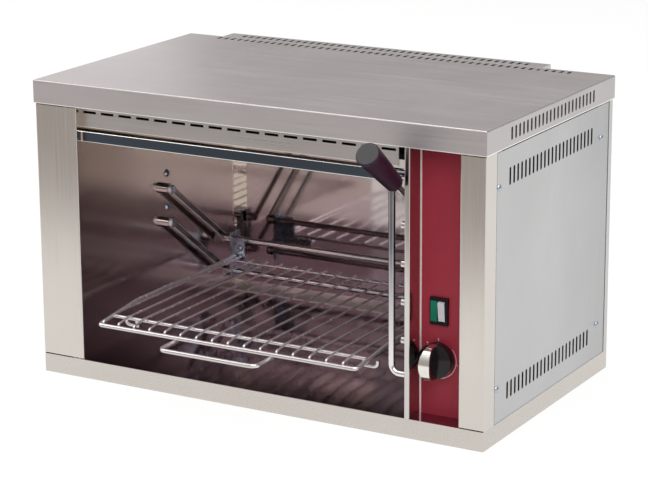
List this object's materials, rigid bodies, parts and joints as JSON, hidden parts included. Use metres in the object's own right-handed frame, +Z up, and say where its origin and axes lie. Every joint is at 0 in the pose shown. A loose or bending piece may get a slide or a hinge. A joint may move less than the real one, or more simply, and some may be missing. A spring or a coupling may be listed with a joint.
{
  "type": "salamander grill",
  "caption": "Countertop salamander grill: stainless cabinet with an open front, overhead heater, and a wire rack that a hand lever lifts on parallel arms.",
  "frame": {"origin": "middle of the base pan's underside, on the table", "axes": "+X to the right as seen by the user at the front, +Y to the back, +Z up"},
  "size_m": [0.6048, 0.4487, 0.366],
  "materials": {
    "stainless": "fine brushed stainless sheet",
    "polished": "polished stainless sheet",
    "chrome": "bright chrome-plated wire",
    "zinc": "bright zinc plate",
    "red_paint": "satin dark red paint",
    "black_gloss": "glossy black",
    "black_grip": "satin black",
    "green_lens": "tinted green",
    "grey_plastic": "pale grey",
    "sheath": "heat-darkened",
    "ceramic": "glazed white"
  },
  "bodies": {
    "cabinet": {"base_pan": "stainless", "floor_plate": "polished", "left_front_pillar": "stainless", "right_front_pillar": "stainless", "left_rear_post": "stainless", "right_rear_post": "stainless", "left_side_panel": "stainless", "right_side_panel": "stainless", "side_panel_screws": "zinc", "back_panel_left": "stainless", "back_panel_right": "stainless", "rear_vent_box": "stainless", "top_cap": "stainless", "cavity_left_wall": "polished", "cavity_right_wall": "polished", "cavity_back_wall": "polished", "valance": "stainless", "heater_rail": "polished", "heat_reflector": "polished", "heating_elements": "sheath", "element_hangers": "zinc", "element_bushes": "ceramic", "control_panel": "red_paint", "switch_bezel": "black_gloss", "switch_body": "black_gloss", "pilot_lens": "green_lens", "regulator_body": "ceramic", "terminal_block": "ceramic", "cable_gland": "black_grip", "pivot_bosses": "polished", "pivot_screws": "zinc", "wall_screws": "zinc", "stop_studs": "chrome", "guide_rod": "chrome"},
    "lower_arms": {"left_lower_arm": "polished", "lever_bar": "polished", "lever_grip": "black_grip", "lower_cross_rod": "chrome"},
    "upper_arms": {"left_upper_arm": "polished", "right_upper_arm": "polished", "upper_cross_rod": "chrome"},
    "carriage": {"left_bracket": "zinc", "right_bracket": "zinc", "bracket_bolts": "zinc", "support_rods": "chrome", "support_hooks": "chrome"},
    "rack": {"rack_frame": "chrome", "rack_wires": "chrome", "rack_cross_wires": "chrome", "rack_handle": "chrome"},
    "knob": {"knob_skirt": "black_gloss", "knob_grip": "black_gloss", "knob_trim": "chrome", "regulator_shaft": "zinc"},
    "rocker": {"rocker": "grey_plastic"}
  },
  "joints": [
    {"name": "rack_lift", "type": "hinge", "parent": "cabinet", "child": "lower_arms", "pos_m": [0, 0.013, 0.154], "axis": [1, 0, 0], "range_deg": [0, 50]},
    {"name": "upper_arm_turn", "type": "hinge", "parent": "cabinet", "child": "upper_arms", "pos_m": [0, 0.013, 0.198], "axis": [1, 0, 0], "range_deg": [0, 50]},
    {"name": "carriage_level", "type": "hinge", "parent": "lower_arms", "child": "carriage", "pos_m": [0, 0.13921, 0.06061], "axis": [1, 0, 0], "range_deg": [-50, 0]},
    {"name": "rack_slide", "type": "slide", "parent": "carriage", "child": "rack", "axis": [0, -1, 0], "range_m": [0, 0.15]},
    {"name": "knob_turn", "type": "hinge", "parent": "cabinet", "child": "knob", "pos_m": [0.2295, -0.15, 0.09], "axis": [0, 1, 0], "range_deg": [0, 270]},
    {"name": "rocker_tip", "type": "hinge", "parent": "cabinet", "child": "rocker", "pos_m": [0.2344, -0.1435, 0.147], "axis": [1, 0, 0], "range_deg": [-16, 0]}
  ],
  "couplings": [
    {"joint": "upper_arm_turn", "follows": "rack_lift", "ratio": 1},
    {"joint": "carriage_level", "follows": "rack_lift", "ratio": -1}
  ]
}
